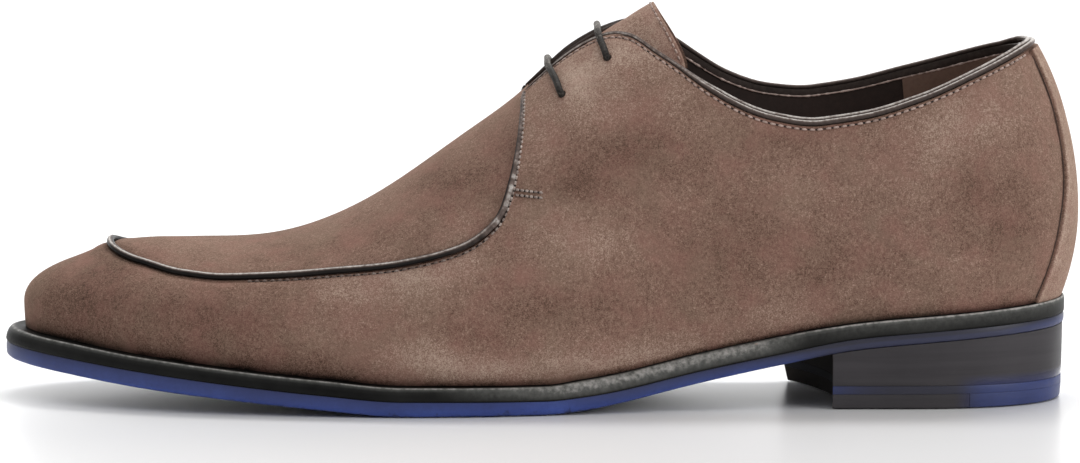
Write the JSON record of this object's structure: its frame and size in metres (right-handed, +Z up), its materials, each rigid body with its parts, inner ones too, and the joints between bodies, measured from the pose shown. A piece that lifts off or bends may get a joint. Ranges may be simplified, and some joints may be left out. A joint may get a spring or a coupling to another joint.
{
  "type": "apron derby shoe",
  "caption": "Left lace-up dress shoe: hollow suede upper with a piped U-shaped apron, stitched two-layer sole and a low stacked heel.",
  "frame": {"origin": "middle of the shoe's box on the floor, under the sole", "axes": "+X from toe to heel, +Y from the outer side to the inner side, +Z up"},
  "size_m": [0.31, 0.0994, 0.1141],
  "materials": {
    "suede": "napped",
    "black_leather": "polished",
    "lining": "matt",
    "blue_rubber": "satin",
    "waxed_cord": "waxed"
  },
  "bodies": {
    "root": {"outsole": "blue_rubber", "midsole": "black_leather", "heel_stack": "black_leather", "heel_lift": "blue_rubber", "top_piece_front": "black_leather", "top_piece_rear": "blue_rubber", "insole": "lining", "upper": "suede", "tongue": "suede", "backstay": "suede", "apron_piping": "black_leather", "collar_piping": "black_leather", "lace_bar_1": "waxed_cord", "lace_bar_2": "waxed_cord"}
  },
  "joints": []
}
